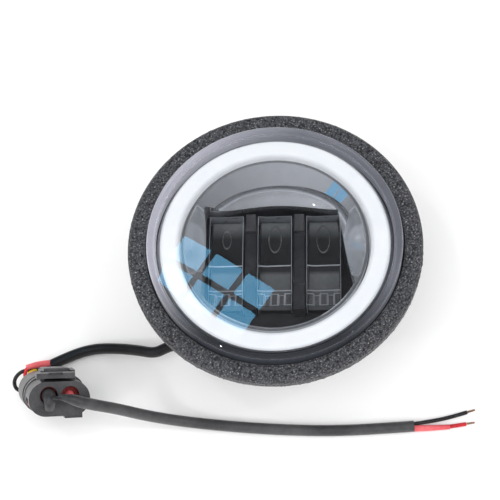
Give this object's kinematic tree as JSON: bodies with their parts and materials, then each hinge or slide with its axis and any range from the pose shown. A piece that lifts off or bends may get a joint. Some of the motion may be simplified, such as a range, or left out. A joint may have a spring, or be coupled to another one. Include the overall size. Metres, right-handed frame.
{
  "type": "led fog light",
  "caption": "Round LED fog light with a halo ring, three projector optics, a finned housing, and a lead ending in a sealed connector pair and pigtail.",
  "frame": {"origin": "centre of the lamp's outline on the face of the rear cover that it rests on", "axes": "+Z along the optical axis, out of the lens; +Y up along the optic blocks; +X from the left optic block to the right one, seen from the front"},
  "size_m": [0.1897, 0.1188, 0.0632],
  "materials": {
    "cast_black": "black crinkle powder coat on die-cast aluminium",
    "steel": "zinc plated",
    "black_rubber": "matt",
    "black_plastic": "fine moulded grain",
    "grey_nylon": "satin moulded nylon",
    "circuit_board": "solder mask",
    "ferrite": "matt",
    "bare_aluminium": "satin",
    "thermal_grey": "matt",
    "led_white": "phosphor under clear silicone",
    "reflector_chrome": "vacuum metallised",
    "clear_optic": "polished acrylic",
    "smoke_plastic": "satin",
    "halo_white": "opal diffuser, lit",
    "clear_lens": "hard-coated polycarbonate",
    "connector_grey": "glass-filled nylon",
    "tinned_brass": "tinned",
    "red_silicone": "matt silicone",
    "lock_red": "moulded",
    "cable_black": "satin sheath",
    "cable_grey": "satin sheath",
    "wire_red": "extruded insulation",
    "wire_yellow": "extruded insulation",
    "wire_black": "extruded insulation",
    "tinned_copper": "bare strands"
  },
  "bodies": {
    "lamp": {"housing": "cast_black", "rear_cover": "cast_black", "rear_cover_screws": "steel", "rear_cover_gasket": "black_rubber", "breather_vent": "black_plastic", "gland_body": "grey_nylon", "gland_seal": "black_rubber", "gland_nut": "grey_nylon", "driver_board": "circuit_board", "driver_posts": "steel", "driver_screws": "steel", "driver_inductor": "ferrite", "driver_capacitors": "bare_aluminium", "driver_chips": "black_plastic", "thermal_pad": "thermal_grey", "led_board": "bare_aluminium", "led_emitters": "led_white", "led_board_screws": "steel", "reflector": "reflector_chrome", "reflector_posts": "black_plastic", "optic_left": "clear_optic", "optic_centre": "clear_optic", "optic_right": "clear_optic", "optic_ribs": "black_plastic", "halo_tray": "smoke_plastic", "halo_led_board": "circuit_board", "halo_leds": "led_white", "halo_light_guide": "halo_white", "lens": "clear_lens", "lens_sealant": "black_rubber", "socket_housing": "connector_grey", "socket_pins": "tinned_brass", "socket_potting": "black_rubber", "lead_inner": "cable_black", "inner_wires": "wire_black", "lamp_cable": "cable_black", "lamp_wire_red": "wire_red", "lamp_wire_yellow": "wire_yellow", "lamp_wire_black": "wire_black"},
    "plug": {"plug_housing": "connector_grey", "plug_terminals": "tinned_brass", "plug_wire_seals": "red_silicone", "plug_terminal_lock": "lock_red", "plug_gasket": "red_silicone", "plug_wire_red": "wire_red", "plug_wire_black": "wire_black", "pigtail_cable": "cable_grey", "tail_wire_red": "wire_red", "tail_wire_black": "wire_black", "tail_bare_ends": "tinned_copper"},
    "latch": {"plug_latch": "connector_grey"}
  },
  "joints": [
    {"name": "plug_pull", "type": "slide", "parent": "lamp", "child": "plug", "axis": [0.3687, -0.4394, 0.8191], "range_m": [0, 0.014]},
    {"name": "latch_press", "type": "hinge", "parent": "plug", "child": "latch", "pos_m": [-0.08716, -0.04318, 0.02983], "axis": [0.9292, 0.1512, -0.3371], "range_deg": [0, 8], "stiffness_Nm_per_rad": 0.02, "springref_deg": -5.73}
  ]
}
